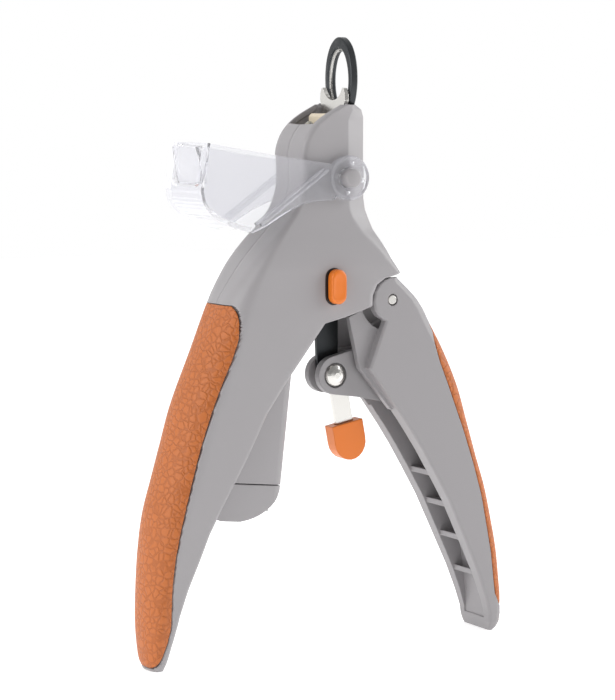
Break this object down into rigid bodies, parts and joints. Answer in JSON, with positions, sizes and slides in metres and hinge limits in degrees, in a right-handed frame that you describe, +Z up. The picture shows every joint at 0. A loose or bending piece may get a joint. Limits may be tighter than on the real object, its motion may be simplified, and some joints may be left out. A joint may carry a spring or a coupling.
{
  "type": "lighted pet nail trimmer",
  "caption": "Plier-style pet nail trimmer with an oval cutting loop, a sliding crescent blade, a flip-up magnifying hood, a lamp and a battery bay in one handle.",
  "frame": {"origin": "middle of the bounding box's bottom face, under the two handle tips the open trimmer stands on", "axes": "+X from the fixed handle to the squeezing lever, +Y from the front face to the back face, +Z up through the cutting loop"},
  "size_m": [0.1122, 0.026, 0.1687],
  "materials": {
    "shell": "satin",
    "lever": "satin",
    "grip": "pebbled",
    "orange": "satin",
    "clear": "clear polycarbonate",
    "black": "black oxide",
    "bright": "ground",
    "spring": "bare",
    "cream": "moulded",
    "board": "lacquered",
    "cell": "shrink wrap",
    "lamp": "clear epoxy"
  },
  "bodies": {
    "casing": {"front_casing": "shell", "rear_casing": "shell", "left_grip": "grip", "casing_screw_1": "bright", "casing_screw_2": "bright", "casing_screw_3": "bright", "casing_screw_4": "bright", "hood_boss_front": "shell", "hood_boss_rear": "shell", "battery_housing": "shell", "battery_cell_1": "cell", "battery_cell_2": "cell", "contact_tab_1": "spring", "contact_tab_2": "spring", "circuit_board": "board", "led_lamp": "lamp", "switch_body": "bright", "cutting_ring": "black", "ring_screw": "black", "pivot_pin": "bright", "return_spring": "spring"},
    "lever": {"lever": "lever", "lever_grip": "grip", "link_rivet": "bright"},
    "drive_link": {"drive_link": "black"},
    "blade_slide": {"blade_carrier": "cream", "blade": "bright", "blade_screw": "bright", "carrier_pin": "bright"},
    "lock": {"lock_strap": "bright", "lock_tip": "orange"},
    "hood": {"magnifier_hood": "clear", "magnifier_lens": "clear"},
    "battery_door": {"battery_cap": "shell", "contact_plate": "spring"},
    "switch": {"switch_button": "orange"}
  },
  "joints": [
    {"name": "squeeze", "type": "hinge", "parent": "casing", "child": "lever", "pos_m": [0.01715, 0, 0.097], "axis": [0, 1, 0], "range_deg": [0, 40], "stiffness_Nm_per_rad": 0.3},
    {"name": "link_swing", "type": "hinge", "parent": "lever", "child": "drive_link", "pos_m": [0.0022, 0, 0.0764], "axis": [0, -1, 0], "range_deg": [0, 26.5]},
    {"name": "blade_lift", "type": "slide", "parent": "casing", "child": "blade_slide", "axis": [0, 0, 1], "range_m": [0, 0.0146], "deforming": ["return_spring"]},
    {"name": "lock_swing", "type": "hinge", "parent": "lever", "child": "lock", "pos_m": [0.0022, 0, 0.0764], "axis": [0, -1, 0], "range_deg": [0, 24.5]},
    {"name": "hood_flip", "type": "hinge", "parent": "casing", "child": "hood", "pos_m": [0.00275, 0, 0.1307], "axis": [0, 1, 0], "range_deg": [0, 100]},
    {"name": "battery_door_slide", "type": "slide", "parent": "casing", "child": "battery_door", "axis": [-0.1132, 0, -0.9936], "range_m": [0, 0.006]},
    {"name": "lamp_switch", "type": "slide", "parent": "casing", "child": "switch", "axis": [0, 0, 1], "range_m": [0, 0.0025]}
  ],
  "couplings": [
    {"joint": "link_swing", "follows": "squeeze", "ratio": 0.6575},
    {"joint": "blade_lift", "follows": "squeeze", "m_per_rad": 0.020769},
    {"joint": "lock_swing", "follows": "squeeze", "ratio": 0.6}
  ]
}
